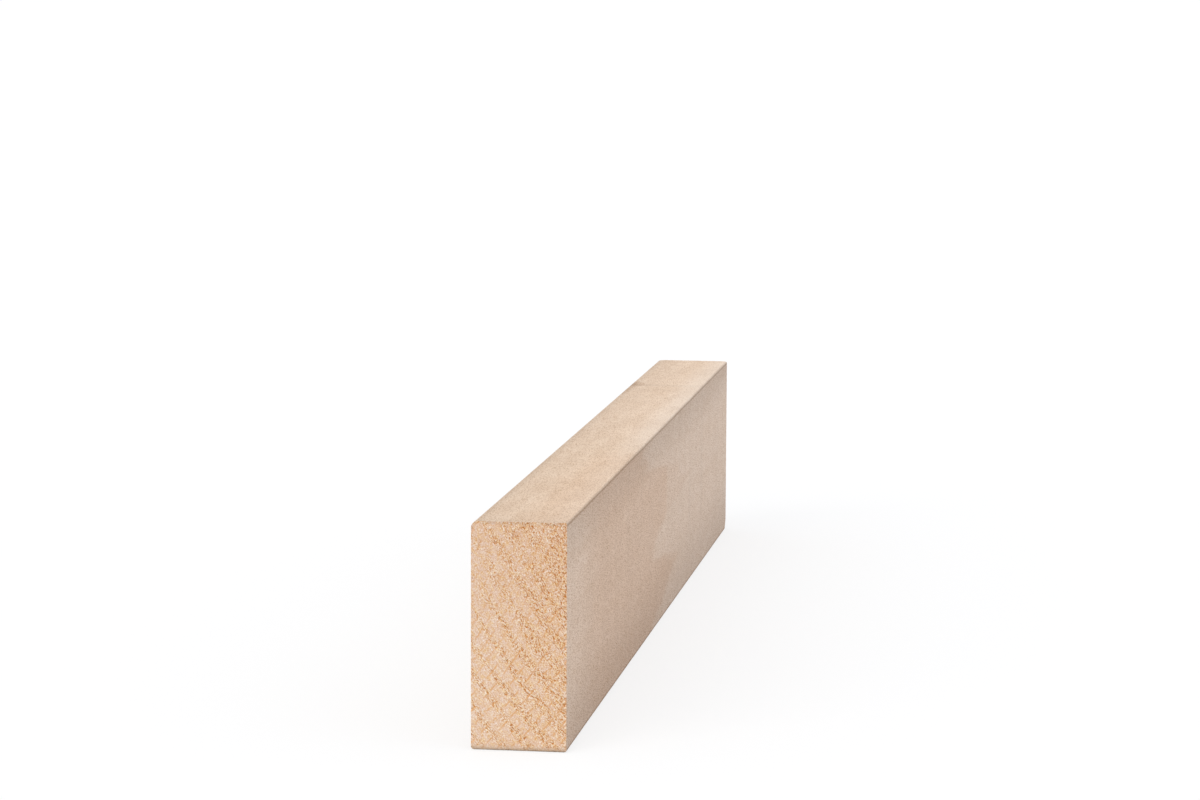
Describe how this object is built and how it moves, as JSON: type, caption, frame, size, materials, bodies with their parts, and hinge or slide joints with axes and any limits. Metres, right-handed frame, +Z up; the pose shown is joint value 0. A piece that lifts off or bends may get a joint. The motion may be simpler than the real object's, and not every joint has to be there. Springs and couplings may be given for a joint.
{
  "type": "rectangular timber moulding",
  "caption": "Short length of planed rectangular timber moulding with eased long edges and sawn ends, used as trim, edging or framing strip.",
  "frame": {"origin": "middle of the narrow edge that the strip rests on, halfway along its length", "axes": "+Y along the grain from the near sawn end to the far one, +X across the thickness, +Z up the broad faces"},
  "size_m": [0.02, 0.3, 0.048],
  "materials": {
    "bare_wood": "bare pale close-grained wood, planed on the long faces and rough sawn on the ends"
  },
  "bodies": {
    "root": {"moulding": "bare_wood"}
  },
  "joints": []
}
